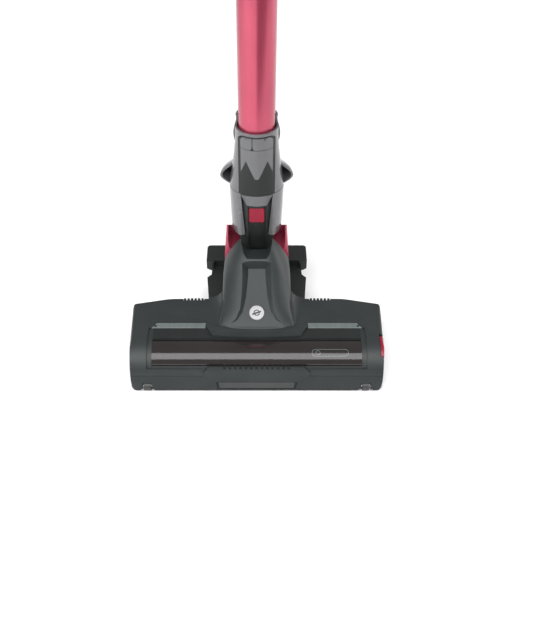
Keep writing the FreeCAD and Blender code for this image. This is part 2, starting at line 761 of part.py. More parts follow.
def build_belt():
    """Belt round the brush pulley and the motor pulley."""
    x0 = 1.0 - pulley_outer_x
    x1 = -pulley_inner_x - 1.0
    dy = motor_y - brush_y
    dz = motor_z - brush_z
    reach = math.hypot(dy, dz)
    tilt = math.degrees(math.atan2(dz, dy))

    def loop(extra):
        big = brush_pulley_r + extra
        small = motor_pulley_r + extra
        lean = math.asin((big - small) / reach)
        c, s = math.cos(lean), math.sin(lean)
        outline = prism_x([(big * s, big * c), (reach + small * s, small * c),
                           (reach + small * s, -small * c), (big * s, -big * c)], x0, x1)
        return fuse_all([outline, rod_x(x0, x1, 0, 0, big), rod_x(x0, x1, reach, 0, small)])

    belt = loop(belt_thick).cut(loop(run_gap))
    belt.rotate(V(0, 0, 0), V(1, 0, 0), tilt)
    belt.translate(V(0, brush_y, brush_z))
    return belt


# ---------------------------------------------------------------- brush roll
def build_brush_core():
    core = rod_x(-core_half, core_half, brush_y, brush_z, core_r)
    return core.fuse(rod_x(-pulley_outer_x - 1.5, plate_x + plate_thick + 1.0, brush_y, brush_z, core_shaft_r))


def build_bristles():
    """Rows of bristles that wind in a shallow V from the ends to the middle."""
    rows = []
    span = core_half - 2.0
    length = 2 * span / tuft_count
    for row in range(strip_count):
        for index in range(tuft_count):
            x0 = -span + index * length
            mid = abs(index - (tuft_count - 1) / 2)
            tuft = box(x0 + 0.2, x0 + length - 0.2, -strip_width / 2, strip_width / 2, core_r - 3, bristle_r)
            tuft = tuft.common(rod_x(x0, x0 + length, 0, 0, bristle_r))
            tuft = tuft.cut(rod_x(x0 - 1, x0 + length + 1, 0, 0, core_r))
            tuft.rotate(V(0, 0, 0), V(1, 0, 0), 360.0 * row / strip_count + tuft_step * mid)
            tuft.translate(V(0, brush_y, brush_z))
            rows.append(tuft)
    return Part.makeCompound(rows)


def build_brush_pulley():
    return tube_x(-pulley_outer_x, -pulley_inner_x, brush_y, brush_z, brush_pulley_r, core_shaft_r)


def build_bearing_plate():
    plate = box(plate_x, plate_x + plate_thick, brush_y - 14.5, brush_y + 18, base_z + 0.2, 35)
    plate = plate.common(head_block(wall + 0.2))
    return plate.cut(rod_x(plate_x - 4, plate_x + 8, brush_y, brush_z, bush_r))


def build_bush():
    return tube_x(plate_x, plate_x + plate_thick, brush_y, brush_z, bush_r, core_shaft_r + run_gap)


def latch_block(gap, travel):
    """Space of the end latch, widened by gap and lengthened rearwards by travel."""
    x_in = end_half(brush_y) - latch_thick
    return box(x_in - gap, x_in + 12, latch_front_y - gap, latch_rear_y + gap + travel,
               latch_low_z - gap, deck_z + 6)


def build_latch():
    """Catch at the right end that frees the brush roll; it slides rearwards."""
    return latch_block(0, 0).common(head_block(-latch_proud)).cut(head_block(latch_thick - 0.2))


# ---------------------------------------------------------------- yoke
def build_yoke():
    """Cup that carries the neck, on a stem that ends in the hinge drum."""
    front_y = barrel_front_y - 3.0
    cup = prism_y([(-33.2, 66), (33.2, 66), (33.2, 72), (31.3, cup_top_z), (-31.3, cup_top_z), (-33.2, 72)],
                  front_y, cup_rear_y)
    along_y = [e for e in cup.Edges if abs(e.tangentAt(e.FirstParameter).y) > 0.99 and e.CenterOfMass.z > 90]
    cup = cup.makeFillet(1.8, along_y)
    bowl = [(19.5, 72), (25.5, 75.5), (28.8, 82), (29.6, 88), (29.4, 94.5), (29.3, cup_top_z + 10)]
    bowl += [(-x, z) for x, z in reversed(bowl)]
    cup = cup.cut(prism_y(bowl, front_y - 5, cup_wall_y))
    fall = cup_slope * 33.0
    rim = prism_x([(wand_y, cup_top_z), (wand_y + 33, cup_top_z - fall), (wand_y + 33, 130), (wand_y, 130)],
                  -40, 40)
    boss_foot = box(-boss_r, boss_r, cup_wall_y, cup_rear_y, 74, roll_z)
    cup = cup.cut(rim).fuse([rod_y(cup_wall_y, cup_rear_y, 0, roll_z, boss_r), boss_foot])
    nose = prism_x([(30, 60), (30, 110), (front_y + 8, 110), (front_y, 66)], -40, 40)
    cup = cup.cut(nose)
    stem = prism_x([(61, 44), (46, 68), (80, 68), (86.5, 40), (pitch_y, pitch_z)], -24, 24)
    drum = rod_x(-drum_half, drum_half, pitch_y, pitch_z, drum_r)
    yoke = fuse_all([cup, stem, drum])
    duct = prism_x([(66, 20), (66, 40), (50, 75), (66, 75), (80, 40), (80, 33), (pitch_y, 24)], -14, 14)
    port = prism_x([(55, 22), (55, 45), (70, 45), (70, 22)], -14, 14)
    yoke = yoke.cut(duct).cut(port)
    for side in (-1, 1):
        x0, x1 = sorted((side * (drum_half - 9.5), side * (drum_half + 2)))
        yoke = yoke.cut(rod_x(x0, x1, pitch_y, pitch_z, hinge_pin_r + run_gap))
    return yoke.cut(rod_y(cup_wall_y - 4, cup_rear_y + 9, 0, roll_z, roll_pin_r))


def build_roll_pin():
    pin = rod_y(cup_wall_y - 10, cup_rear_y + 2.5, 0, roll_z, roll_pin_r)
    pin = pin.fuse(rod_y(cup_rear_y + 0.1, cup_rear_y + 2.5, 0, roll_z, pin_head_r))
    return pin.cut(rod_y(cup_wall_y - 14, cup_rear_y + 9, 0, roll_z, 2.0))


# ---------------------------------------------------------------- neck
def build_barrel():
    """Swivel barrel under the neck: it turns in the cup about the roll pin."""
    barrel = rod_y(barrel_front_y, cup_wall_y - side_gap, 0, roll_z, barrel_r)
    barrel = barrel.common(box(-40, 40, 30, 90, 60, barrel_top_z))
    barrel = barrel.cut(rod_z(60, 120, 0, wand_y - 5, 9.0))
    return barrel.cut(rod_y(cup_wall_y - 11, cup_wall_y + 6, 0, roll_z, roll_pin_r + run_gap))


def boss_room():
    return rod_y(cup_wall_y - 1, 100, 0, roll_z, boss_r + boss_gap)


def lobe_outline():
    """Region kept for the lower shell: straight above, round lobes below."""
    lobe_z = neck_foot_z + lobe_r
    keep = box(-40, 40, 20, 100, lobe_z, seam_z + 10)
    for side in (-1, 1):
        keep = keep.fuse(rod_y(20, wand_y + 4, side * lobe_x, lobe_z, lobe_r))
    return keep.fuse(box(-40, 40, wand_y + 3, 100, neck_foot_z, lobe_z + 1))


def build_neck_shell():
    shell = ellipse_loft(neck_low, 0).cut(ellipse_loft(neck_low, neck_wall))
    shell = shell.common(lobe_outline())
    foot, seam = slot_half
    slot = prism_y([(-foot, 95), (foot, 95), (seam, seam_z + 1), (-seam, seam_z + 1)], 20, 45)
    return max(shell.cut(slot).cut(boss_room()).Solids, key=lambda s: s.Volume)


def build_neck_core():
    """Inner duct behind the shell, seen dark in the slot on either side of the spine."""
    low = ((barrel_top_z, 25.3, 21.6),) + neck_low[1:-1] + ((seam_z - 0.2, 26.9, 22.9),)
    core = ellipse_loft(low, neck_wall + core_gap)
    long = ((barrel_top_z - 1, 25.3, 21.6),) + neck_low[1:-1] + ((seam_z + 1, 26.9, 22.9),)
    core = core.cut(ellipse_loft(long, neck_wall + core_gap + core_wall))
    pocket = box(-button_half - 1.2, button_half + 1.2, 30, 46, button_low_z - 2, button_top_z + 2)
    return core.cut(pocket).cut(boss_room())


def build_spine():
    """Strip down the front of the neck, with a raised rail along each edge and the button's window."""
    half_top = spine_half + 0.6
    outline = prism_y([(-spine_half, spine_foot_z + 4), (-spine_half + 3.5, spine_foot_z),
                       (spine_half - 3.5, spine_foot_z), (spine_half, spine_foot_z + 4),
                       (half_top, spine_top_z), (-half_top, spine_top_z)], 25, 42)
    low = ((70.0, 25.0, 21.4),) + neck_low
    strip = outline.common(ellipse_loft(low, -spine_proud).cut(ellipse_loft(low, neck_wall)))
    rail_foot = spine_foot_z + 5
    proud = ellipse_loft(low, -spine_proud - 0.5).cut(ellipse_loft(low, -spine_proud + 0.5))
    for side in (-1, 1):
        rail = prism_y([(side * (spine_half - spine_rail), rail_foot), (side * spine_half, rail_foot),
                        (side * half_top, spine_top_z), (side * (half_top - spine_rail), spine_top_z)], 25, 42)
        strip = strip.fuse(rail.common(proud))
    button_hole = box(-button_half - 0.3, button_half + 0.3, 20, 50, button_low_z - 0.3, button_top_z + 0.3)
    return strip.cut(button_hole)


def build_chevron():
    """Lip above the button that closes the slot below the collar."""
    foot, seam = chevron_half
    outline = prism_y([(-foot, spine_top_z + 0.1), (foot, spine_top_z + 0.1),
                       (seam, seam_z - 0.2), (-seam, seam_z - 0.2)], 25, 45)
    return outline.common(ellipse_loft(neck_low, -1.2).cut(ellipse_loft(neck_low, neck_wall)))


def build_button():
    """Release button; it is pressed towards the wand's axis."""
    face_y = wand_y - neck_low[1][2] - button_proud
    cap = box(-button_half, button_half, face_y, face_y + button_thick, button_low_z, button_top_z)
    front = [e for e in cap.Edges if abs(e.tangentAt(e.FirstParameter).y) > 0.99]
    return cap.makeFillet(1.8, front)


def build_button_spring():
    """Coil between the button and the neck core."""
    y0 = wand_y - neck_low[1][2] - button_proud + button_thick + button_travel + 0.1
    return tube_y(y0, y0 + 2.2, 0, (button_low_z + button_top_z) / 2, 3.6, 2.8)


def build_collar_front():
    """Front half of the collar, with the bed of its panel."""
    shell = ellipse_loft(collar_stations, 0).cut(ellipse_loft(collar_stations, neck_wall))
    shell = shell.cut(rod_z(140, 240, 0, wand_y, wand_r + 0.3))
    shell = shell.common(box(-40, 40, 20, wand_y - 0.1, 140, 240))
    bed = panel_outline(0.35).cut(ellipse_loft(collar_stations, 1.2))
    return max(shell.cut(bed).Solids, key=lambda s: s.Volume)


def panel_outline(gap):
    """Region of the collar's front panel: square foot, rounded upper corners."""
    region = box(-panel_half - gap, panel_half + gap, 25, 50, collar_foot_z - gap, panel_top_z + gap)
    upper = [e for e in region.Edges if abs(e.tangentAt(e.FirstParameter).y) > 0.99 and e.CenterOfMass.z > 200]
    return region.makeFillet(panel_round, upper)


def build_collar_panel():
    skin = ellipse_loft(collar_stations, 0.1).cut(ellipse_loft(collar_stations, 1.1))
    return panel_outline(0).common(skin)


def build_collar_rear():
    """Rear half of the collar; two prongs rise beside the wand."""
    tall = collar_stations + ((collar_stations[-1][0] + 3.0, prong_r, prong_r), (prong_top_z, prong_r, prong_r))
    shell = ellipse_loft(tall, 0).cut(ellipse_loft(tall, neck_wall))
    shell = shell.cut(rod_z(140, 240, 0, wand_y, wand_r + 0.3))
    shell = shell.common(box(-40, 40, wand_y + 0.1, 100, 140, 240))
    scoop = rod_y(wand_y + 4, 100, 0, prong_top_z + 4, wand_r - 0.3)
    return max(shell.cut(scoop).Solids, key=lambda s: s.Volume)


def build_wand():
    return tube_z(wand_low_z, wand_top_z, 0, wand_y, wand_r, wand_r - wand_wall)


def build_wand_sleeve():
    """Inner sleeve between the wand's foot and the neck core."""
    return tube_z(seam_z + 0.5, sleeve_top_z, 0, wand_y, wand_r - wand_wall - 0.05, wand_r - wand_wall - 2.0)


def build_wand_seal():
    return tube_z(seam_z + 2.5, wand_low_z - 0.2, 0, wand_y, wand_r + 0.2, wand_r - wand_wall)


def build_conductor():
    """Flat conductor rail along the inside of the wand."""
    reach = wand_r - wand_wall - 0.2
    rail = box(-4, 4, wand_y + reach - 3.0, wand_y + reach, sleeve_top_z + 2, wand_top_z - 4.2)
    return rail.common(rod_z(sleeve_top_z, wand_top_z, 0, wand_y, reach))


def build_socket():
    """Upper coupling: sleeve on the wand, with the bore for the hand unit."""
    sleeve = rod_z(socket_low_z, socket_top_z, 0, wand_y, socket_r)
    sleeve = sleeve.cut(rod_z(socket_low_z - 1, wand_top_z + 0.1, 0, wand_y, wand_r + 0.02))
    sleeve = sleeve.cut(rod_z(socket_low_z - 1, socket_top_z + 1, 0, wand_y, bore_r - 0.6))
    sleeve = sleeve.cut(rod_z(socket_top_z - bore_length, socket_top_z + 1, 0, wand_y, bore_r))
    face_y = wand_y - socket_r
    low = wand_top_z - 6.0
    hood = box(-8.5, 8.5, face_y - 5.5, wand_y - 17, low, socket_top_z - 7)
    hood = hood.makeFillet(2.5, [e for e in hood.Edges if abs(e.tangentAt(e.FirstParameter).z) > 0.99])
    hood = hood.cut(rod_z(low - 10, socket_top_z, 0, wand_y, bore_r + 2.2))
    sleeve = sleeve.fuse(hood).removeSplitter()
    return sleeve.cut(box(-catch_half - 0.3, catch_half + 0.3, face_y - 8, wand_y - bore_r - 2.0,
                          catch_low_z - 0.3, catch_top_z + 0.3))


def build_catch():
    """Sprung catch button at the coupling."""
    y0 = wand_y - socket_r - 7.0
    cap = box(-catch_half, catch_half, y0, y0 + 6.0, catch_low_z, catch_top_z)
    return cap.makeFillet(1.5, [e for e in cap.Edges if abs(e.tangentAt(e.FirstParameter).y) > 0.99])


def build_contact_block():
    block = box(-6, 6, wand_y + 8, wand_y + bore_r, wand_top_z - 4.0, wand_top_z + 1.0)
    block = block.common(rod_z(wand_low_z, socket_top_z, 0, wand_y, bore_r - 0.7))
    for side in (-1, 1):
        block = block.cut(rod_z(wand_low_z, socket_top_z, side * contact_x, wand_y + 11.5, contact_r))
    return block


def build_contacts():
    """Contact pins; they end just below the floor of the bore."""
    top_z = socket_top_z - bore_length - 0.3
    return Part.makeCompound([rod_z(wand_top_z - 4.0, top_z, side * contact_x, wand_y + 11.5, contact_r)
                              for side in (-1, 1)])


def build_grip():
    """Ribbed grip on the rear edge of the deck."""
    low = deck_z - grip_low
    front = rear_mid_y - grip_deep
    pad = box(grip_inner_x, grip_outer_x, front, rear_mid_y - 2.2, low, deck_z - 2.0)
    ribs = [pad]
    pitch = (grip_outer_x - grip_inner_x) / grip_rib_count
    half = pitch * grip_rib_share / 2
    profile = [(front, low), (rear_mid_y + grip_proud, low), (rear_mid_y + grip_proud, deck_z - 2.2),
               (rear_mid_y - 1.8, deck_z + grip_proud), (front, deck_z + grip_proud)]
    for index in range(grip_rib_count):
        x = grip_inner_x + (index + 0.5) * pitch
        ribs.append(prism_x(profile, x - half, x + half))
    return fuse_all(ribs)


save("upper_housing", build_upper_housing())
save("lower_housing", build_lower_housing())
save("window", build_window())
save("window_surround", build_surround())
save_pair("light_strip", build_light_strip())
save_set("light_boards", build_light_board())
save("front_panel", build_front_panel())
save("bumper_strip", build_bumper())
save("badge", build_badge())
save("sole_plate", build_sole_plate())
save("sole_screws", build_sole_screws())
save("rear_squeegee", build_squeegee())
save("brush_chamber", build_chamber())
save("suction_duct", build_duct())
save("rear_duct", build_rear_duct())
save_pair("rear_arm", build_arm())
save_set("hinge_pins", build_hinge_pin())
save_set("wheel_axles", build_wheel_axle())
save_pair("wheel", build_wheel())
save_pair("tyre", build_tyre())
save_pair("front_roller", build_roller())
save_set("roller_axles", build_roller_axle())
save("control_board", build_control_board())
save("motor_can", build_motor())
save("motor_shaft", build_motor_shaft())
save("motor_pulley", build_motor_pulley())
save("drive_belt", build_belt())
save("brush_core", build_brush_core())
save("bristle_rows", build_bristles())
save("brush_pulley", build_brush_pulley())
save_set("bearing_plates", build_bearing_plate())
save_set("bearing_bushes", build_bush())
save("end_latch", build_latch())
save_pair("rear_grip", build_grip())
save("yoke", build_yoke())
save("roll_pin", build_roll_pin())
save("swivel_barrel", build_barrel())
save("neck_shell", build_neck_shell())
save("neck_core", build_neck_core())
save("spine_strip", build_spine())
save("chevron_lip", build_chevron())
save("release_button", build_button())
save("button_spring", build_button_spring())
save("collar_front", build_collar_front())
save("collar_panel", build_collar_panel())
save("collar_rear", build_collar_rear())
save("wand_tube", build_wand())
save("wand_sleeve", build_wand_sleeve())
save("wand_seal", build_wand_seal())
save("wand_conductor", build_conductor())
save("wand_socket", build_socket())
save("socket_catch", build_catch())
save("contact_block", build_contact_block())
save("contact_pins", build_contacts())
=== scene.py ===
"""Looks of a powered vacuum floor head with its swivel neck and wand."""

import json
import math

import bmesh
import bpy
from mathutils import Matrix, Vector
from mathutils.bvhtree import BVHTree


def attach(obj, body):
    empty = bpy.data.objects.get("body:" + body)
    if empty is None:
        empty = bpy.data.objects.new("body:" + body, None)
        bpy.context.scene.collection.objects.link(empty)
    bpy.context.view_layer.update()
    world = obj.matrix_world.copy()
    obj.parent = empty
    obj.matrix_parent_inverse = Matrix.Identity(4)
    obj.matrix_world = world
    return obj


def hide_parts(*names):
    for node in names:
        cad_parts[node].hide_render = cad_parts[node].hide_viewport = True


bl_info = {
    "name": "Vacuum floor head",
    "version": (1, 0, 0),
    "blender": (4, 5, 0),
    "location": "View3D > Sidebar > Floor head",
    "description": "Builds the visible pieces and finishes of a vacuum floor head with its wand",
    "category": "Object",
}

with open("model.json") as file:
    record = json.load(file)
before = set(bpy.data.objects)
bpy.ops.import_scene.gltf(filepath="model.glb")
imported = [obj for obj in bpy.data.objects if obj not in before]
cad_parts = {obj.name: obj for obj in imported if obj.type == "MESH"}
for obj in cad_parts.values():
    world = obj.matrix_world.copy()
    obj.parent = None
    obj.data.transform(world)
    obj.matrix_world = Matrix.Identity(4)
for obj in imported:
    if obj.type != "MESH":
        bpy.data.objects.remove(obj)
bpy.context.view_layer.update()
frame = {"nodes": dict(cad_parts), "record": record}
SLOT_OF_NODE = {entry["node"]: entry["material_slot"] for entry in frame["record"]["subparts"]}
BODIES = frame["record"]["behaviour"]["bodies"]
BODY_OF_NODE = {node: body for body, nodes in BODIES.items() for node in nodes}
MM = 0.001


# ---------------------------------------------------------------- settings
class HeadFinish(bpy.types.PropertyGroup):
    """Colours and grain of the finishes."""
    shell_colour: bpy.props.FloatVectorProperty(
        name="Shell", description="Moulded shell of the floor head", subtype="COLOR", size=3,
        default=(0.0195, 0.0235, 0.0235), min=0, max=1)
    dark_colour: bpy.props.FloatVectorProperty(
        name="Dark plastic", description="Rear arms, sole plate and grips", subtype="COLOR", size=3,
        default=(0.013, 0.0155, 0.015), min=0, max=1)
    neck_colour: bpy.props.FloatVectorProperty(
        name="Neck", description="Glossy shells of the neck and collar", subtype="COLOR", size=3,
        default=(0.085, 0.085, 0.091), min=0, max=1)
    spine_colour: bpy.props.FloatVectorProperty(
        name="Spine", description="Dark strip on the neck", subtype="COLOR", size=3,
        default=(0.008, 0.0100, 0.0092), min=0, max=1)
    wand_colour: bpy.props.FloatVectorProperty(
        name="Wand", description="Anodised tube", subtype="COLOR", size=3,
        default=(0.42, 0.060, 0.105), min=0, max=1)
    yoke_colour: bpy.props.FloatVectorProperty(
        name="Yoke", description="Pink swivel yoke", subtype="COLOR", size=3,
        default=(0.38, 0.048, 0.088), min=0, max=1)
    button_colour: bpy.props.FloatVectorProperty(
        name="Buttons", description="Red release button and end latch", subtype="COLOR", size=3,
        default=(0.22, 0.003, 0.020), min=0, max=1)
    light_colour: bpy.props.FloatVectorProperty(
        name="Light strips", description="Milky lenses", subtype="COLOR", size=3,
        default=(0.105, 0.12, 0.12), min=0, max=1)
    grain: bpy.props.FloatProperty(
        name="Grain", description="Depth of the moulded texture", default=0.00004, min=0, max=0.001,
        unit="LENGTH", precision=6)


class HeadSizes(bpy.types.PropertyGroup):
    """Sizes of the edges."""
    edge: bpy.props.FloatProperty(
        name="Edge round", description="Round on moulded edges", default=0.0005, min=0, max=0.003,
        unit="LENGTH", precision=5)


# ---------------------------------------------------------------- materials
class Nodes:
    """Adds shader nodes to one material and links them."""

    def __init__(self, name):
        self.material = bpy.data.materials.new(name)
        self.material.use_nodes = True
        self.tree = self.material.node_tree
        self.shader = self.tree.nodes["Principled BSDF"]
        self.coords = self.tree.nodes.new("ShaderNodeTexCoord")

    def add(self, kind, **values):
        node = self.tree.nodes.new(kind)
        for key, value in values.items():
            if hasattr(node, key):
                setattr(node, key, value)
            else:
                node.inputs[key.replace("_", " ")].default_value = value
        return node

    def link(self, a, b):
        self.tree.links.new(a, b)

    def noise(self, scale, detail=2.0, stretch=(1, 1, 1)):
        mapping = self.add("ShaderNodeMapping")
        mapping.inputs["Scale"].default_value = stretch
        self.link(self.coords.outputs["Object"], mapping.inputs["Vector"])
        noise = self.add("ShaderNodeTexNoise", Scale=scale, Detail=detail)
        self.link(mapping.outputs["Vector"], noise.inputs["Vector"])
        return noise

    def colour_mix(self, factor, low, high, low_at=0.35, high_at=0.65):
        ramp = self.add("ShaderNodeValToRGB")
        ramp.color_ramp.elements[0].position = low_at
        ramp.color_ramp.elements[0].color = (*low, 1)
        ramp.color_ramp.elements[1].position = high_at
        ramp.color_ramp.elements[1].color = (*high, 1)
        self.link(factor, ramp.inputs["Fac"])
        return ramp.outputs["Color"]

    def spread(self, factor, low, high):
        span = self.add("ShaderNodeMapRange", To_Min=low, To_Max=high)
        self.link(factor, span.inputs["Value"])
        return span.outputs["Result"]

    def bump(self, height, distance):
        bump = self.add("ShaderNodeBump", Strength=1.0, Distance=distance)
        self.link(height, bump.inputs["Height"])
        return bump.outputs["Normal"]


def shade(colour, share):
    return tuple(c * share for c in colour)


def moulded(name, colour, roughness, grain_scale, grain, coat=0.0, coat_roughness=0.1, vary=0.08, flow=40,
            specular=0.5):
    """Moulded plastic: fine grain, slow change of tone and of gloss."""
    n = Nodes(name)
    slow = n.noise(flow, 3.0)
    fine = n.noise(grain_scale, 2.0)
    tone = n.colour_mix(slow.outputs["Fac"], shade(colour, 1 - vary), shade(colour, 1 + vary))
    n.link(tone, n.shader.inputs["Base Color"])
    n.link(n.spread(slow.outputs["Fac"], roughness * 0.88, roughness * 1.12), n.shader.inputs["Roughness"])
    n.link(n.bump(fine.outputs["Fac"], grain), n.shader.inputs["Normal"])
    n.shader.inputs["Specular IOR Level"].default_value = specular
    n.shader.inputs["Coat Weight"].default_value = coat
    n.shader.inputs["Coat Roughness"].default_value = coat_roughness
    return n.material


def metal(name, colour, roughness, stretch, scale=900, grain=0.00001, metallic=1.0, coat=0.0):
    """Drawn or turned metal, with its marks along one way."""
    n = Nodes(name)
    marks = n.noise(scale, 3.0, stretch)
    slow = n.noise(25, 2.0)
    tone = n.colour_mix(slow.outputs["Fac"], shade(colour, 0.95), shade(colour, 1.05))
    n.link(tone, n.shader.inputs["Base Color"])
    n.link(n.spread(marks.outputs["Fac"], roughness * 0.8, roughness * 1.25), n.shader.inputs["Roughness"])
    n.link(n.bump(marks.outputs["Fac"], grain), n.shader.inputs["Normal"])
    n.shader.inputs["Metallic"].default_value = metallic
    n.shader.inputs["Coat Weight"].default_value = coat
    n.shader.inputs["Coat Roughness"].default_value = 0.15
    return n.material


def smoked_plastic(name):
    """Tinted clear plastic of the brush window."""
    n = Nodes(name)
    slow = n.noise(30, 2.0)
    tone = n.colour_mix(slow.outputs["Fac"], (0.020, 0.016, 0.016), (0.024, 0.019, 0.019))
    n.link(tone, n.shader.inputs["Base Color"])
    n.link(n.spread(slow.outputs["Fac"], 0.09, 0.13), n.shader.inputs["Roughness"])
    n.shader.inputs["Transmission Weight"].default_value = 0.3
    n.shader.inputs["IOR"].default_value = 1.46
    return n.material


def bristle_nylon(name):
    n = Nodes(name)
    fine = n.noise(1500, 2.0)
    tone = n.colour_mix(fine.outputs["Fac"], (0.10, 0.012, 0.016), (0.34, 0.05, 0.06))
    n.link(tone, n.shader.inputs["Base Color"])
    n.shader.inputs["Roughness"].default_value = 0.5
    return n.material


def milky_lens(name, colour):
    n = Nodes(name)
    bars = n.noise(350, 1.0, (1, 0.05, 0.05))
    tone = n.colour_mix(bars.outputs["Fac"], shade(colour, 0.93), shade(colour, 1.07))
    n.link(tone, n.shader.inputs["Base Color"])
    n.shader.inputs["Roughness"].default_value = 0.28
    n.shader.inputs["Coat Weight"].default_value = 0.3
    n.shader.inputs["Subsurface Weight"].default_value = 0.1
    return n.material


def circuit_lacquer(name):
    n = Nodes(name)
    tracks = n.noise(260, 1.0, (1, 3, 1))
    tone = n.colour_mix(tracks.outputs["Fac"], (0.012, 0.075, 0.035), (0.03, 0.14, 0.07), 0.48, 0.52)
    n.link(tone, n.shader.inputs["Base Color"])
    n.shader.inputs["Roughness"].default_value = 0.35
    return n.material


def build_materials():
    f = bpy.context.scene.head_finish
    grain = f.grain
    return {
        "shell": moulded("shell_matte_grey", f.shell_colour, 0.42, 2600, grain, specular=0.32),
        "dark_shell": moulded("arm_dark_grey", f.dark_colour, 0.5, 2600, grain, specular=0.25),
        "inner_plastic": moulded("inner_black", (0.022, 0.024, 0.024), 0.42, 1800, grain * 0.5),
        "smoked_window": smoked_plastic("window_smoked"),
        "light_lens": milky_lens("lens_milky", f.light_colour),
        "circuit_board": circuit_lacquer("board_lacquer"),
        "soft_rubber": moulded("rubber_soft", (0.032, 0.033, 0.034), 0.68, 1500, grain * 2),
        "tyre_rubber": moulded("tyre_rubber", (0.022, 0.022, 0.022), 0.75, 1200, grain * 2.5),
        "badge_metal": metal("badge_satin", (0.27, 0.27, 0.28), 0.45, (1, 40, 1)),
        "steel": metal("steel_turned", (0.52, 0.53, 0.54), 0.3, (30, 1, 1)),
        "bush_bronze": metal("bronze_bush", (0.50, 0.33, 0.14), 0.35, (30, 1, 1)),
        "motor_can": metal("motor_can_plated", (0.42, 0.43, 0.44), 0.33, (1, 30, 30)),
        "brush_body": moulded("brush_black", (0.03, 0.03, 0.031), 0.32, 1500, grain * 0.4),
        "bristle": bristle_nylon("bristle_red_brown"),
        "wheel_plastic": moulded("wheel_black", (0.028, 0.028, 0.028), 0.45, 1800, grain),
        "red_button": moulded("button_red", f.button_colour, 0.3, 900, grain * 0.2, 0.1, 0.08, 0.06,
                              specular=0.3),
        "yoke_pink": moulded("yoke_pink", f.yoke_colour, 0.3, 1400, grain * 0.3, 0.4, 0.1, 0.05),
        "neck_gloss": moulded("neck_glossy_grey", f.neck_colour, 0.26, 1600, grain * 0.25, 0.6, 0.06, 0.05),
        "neck_dark": moulded("spine_glossy_black", f.spine_colour, 0.3, 1600, grain * 0.2, 0.1, 0.05, 0.05,
                             specular=0.3),
        "wand_pink": metal("wand_anodised", f.wand_colour, 0.24, (60, 60, 1), 500, 0.000006, 0.6, 0.25),
    }


# ---------------------------------------------------------------- mesh helpers
def finish_piece(name, bm, node, body=None, slot=None, smooth_angle=35.0):
    """Turns a bmesh into a piece that stands for a CAD node or rides on a body."""
    mesh = bpy.data.meshes.new(name)
    for face in bm.faces:
        face.smooth = True
    for edge in bm.edges:
        edge.smooth = len(edge.link_faces) == 2 and edge.calc_face_angle(0) < math.radians(smooth_angle)
    bm.to_mesh(mesh)
    bm.free()
    piece = bpy.data.objects.new(name, mesh)
    bpy.context.scene.collection.objects.link(piece)
    slot = slot or SLOT_OF_NODE[node]
    mesh.materials.append(MATERIALS[slot])
    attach(piece, body or BODY_OF_NODE[node])
    if node:
        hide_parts(node)
    return piece


def cad_copy(node, merge=0.00002):
    """A merged copy of a CAD node's mesh."""
    bm = bmesh.new()
    bm.from_mesh(frame["nodes"][node].data)
    bmesh.ops.remove_doubles(bm, verts=bm.verts, dist=merge)
    return bm


def rounded_copy(node, width, segments=2, angle=32.0):
    """The CAD node's shape with its sharp edges rounded."""
    bm = cad_copy(node)
    bmesh.ops.dissolve_limit(bm, angle_limit=math.radians(1.0), verts=bm.verts, edges=bm.edges)
    piece = finish_piece(node + "_skin", bm, node, smooth_angle=angle)
    bevel = piece.modifiers.new("Edge round", "BEVEL")
    bevel.width = width
    bevel.segments = segments
    bevel.limit_method = "ANGLE"
    bevel.angle_limit = math.radians(angle)
    bevel.harden_normals = True
    bevel.use_clamp_overlap = True
    return piece


def wrapped_plate(name, columns, rows, place, thickness, body, slot, closed=False):
    """A grid laid on a surface by place(across, along) and given a thickness."""
    bm = bmesh.new()
    bmesh.ops.create_grid(bm, x_segments=columns, y_segments=rows, size=0.5)
    for vert in bm.verts:
        vert.co = place(vert.co.x + 0.5, vert.co.y + 0.5)
    if closed:
        bmesh.ops.remove_doubles(bm, verts=bm.verts, dist=0.00001)
    bmesh.ops.solidify(bm, geom=bm.faces[:] + bm.edges[:] + bm.verts[:], thickness=thickness)
    bmesh.ops.recalc_face_normals(bm, faces=bm.faces)
    return finish_piece(name, bm, None, body, slot)


def front_surface(node, lift):
    """Gives the point on a node's front, lifted towards the front, for an x and a z in millimetres."""
    bm = bmesh.new()
    bm.from_mesh(frame["nodes"][node].data)
    tree = BVHTree.FromBMesh(bm)
    bm.free()

    def point(x, z):
        hit = tree.ray_cast(Vector((x * MM, -1.0, z * MM)), Vector((0, 1, 0)))[0]
        return Vector((x * MM, (hit.y if hit else 0.036) - lift, z * MM))
    return point


def dress(node):
    """Gives a CAD node its finish."""
    node_object = frame["nodes"][node]
    node_object.data.materials.clear()
    node_object.data.materials.append(MATERIALS[SLOT_OF_NODE[node]])


# ---------------------------------------------------------------- operators
class HEAD_OT_finishes(bpy.types.Operator):
    """Makes the finishes and gives every CAD node its own"""
    bl_idname = "floor_head.finishes"
    bl_label = "Finishes"

    def execute(self, context):
        MATERIALS.update(build_materials())
        for node in frame["nodes"]:
            dress(node)
        return {"FINISHED"}


class HEAD_OT_shells(bpy.types.Operator):
    """Housings, panels and arms of the floor head, with rounded edges"""
    bl_idname = "floor_head.shells"
    bl_label = "Head shells"
    nodes = ("upper_housing", "lower_housing", "front_panel", "bumper_strip",
             "rear_arm_left", "rear_arm_right", "rear_grip_left", "rear_grip_right",
             "light_strip_left", "light_strip_right", "end_latch")

    def execute(self, context):
        sizes = context.scene.head_sizes
        for node in self.nodes:
            rounded_copy(node, sizes.edge)
        return {"FINISHED"}


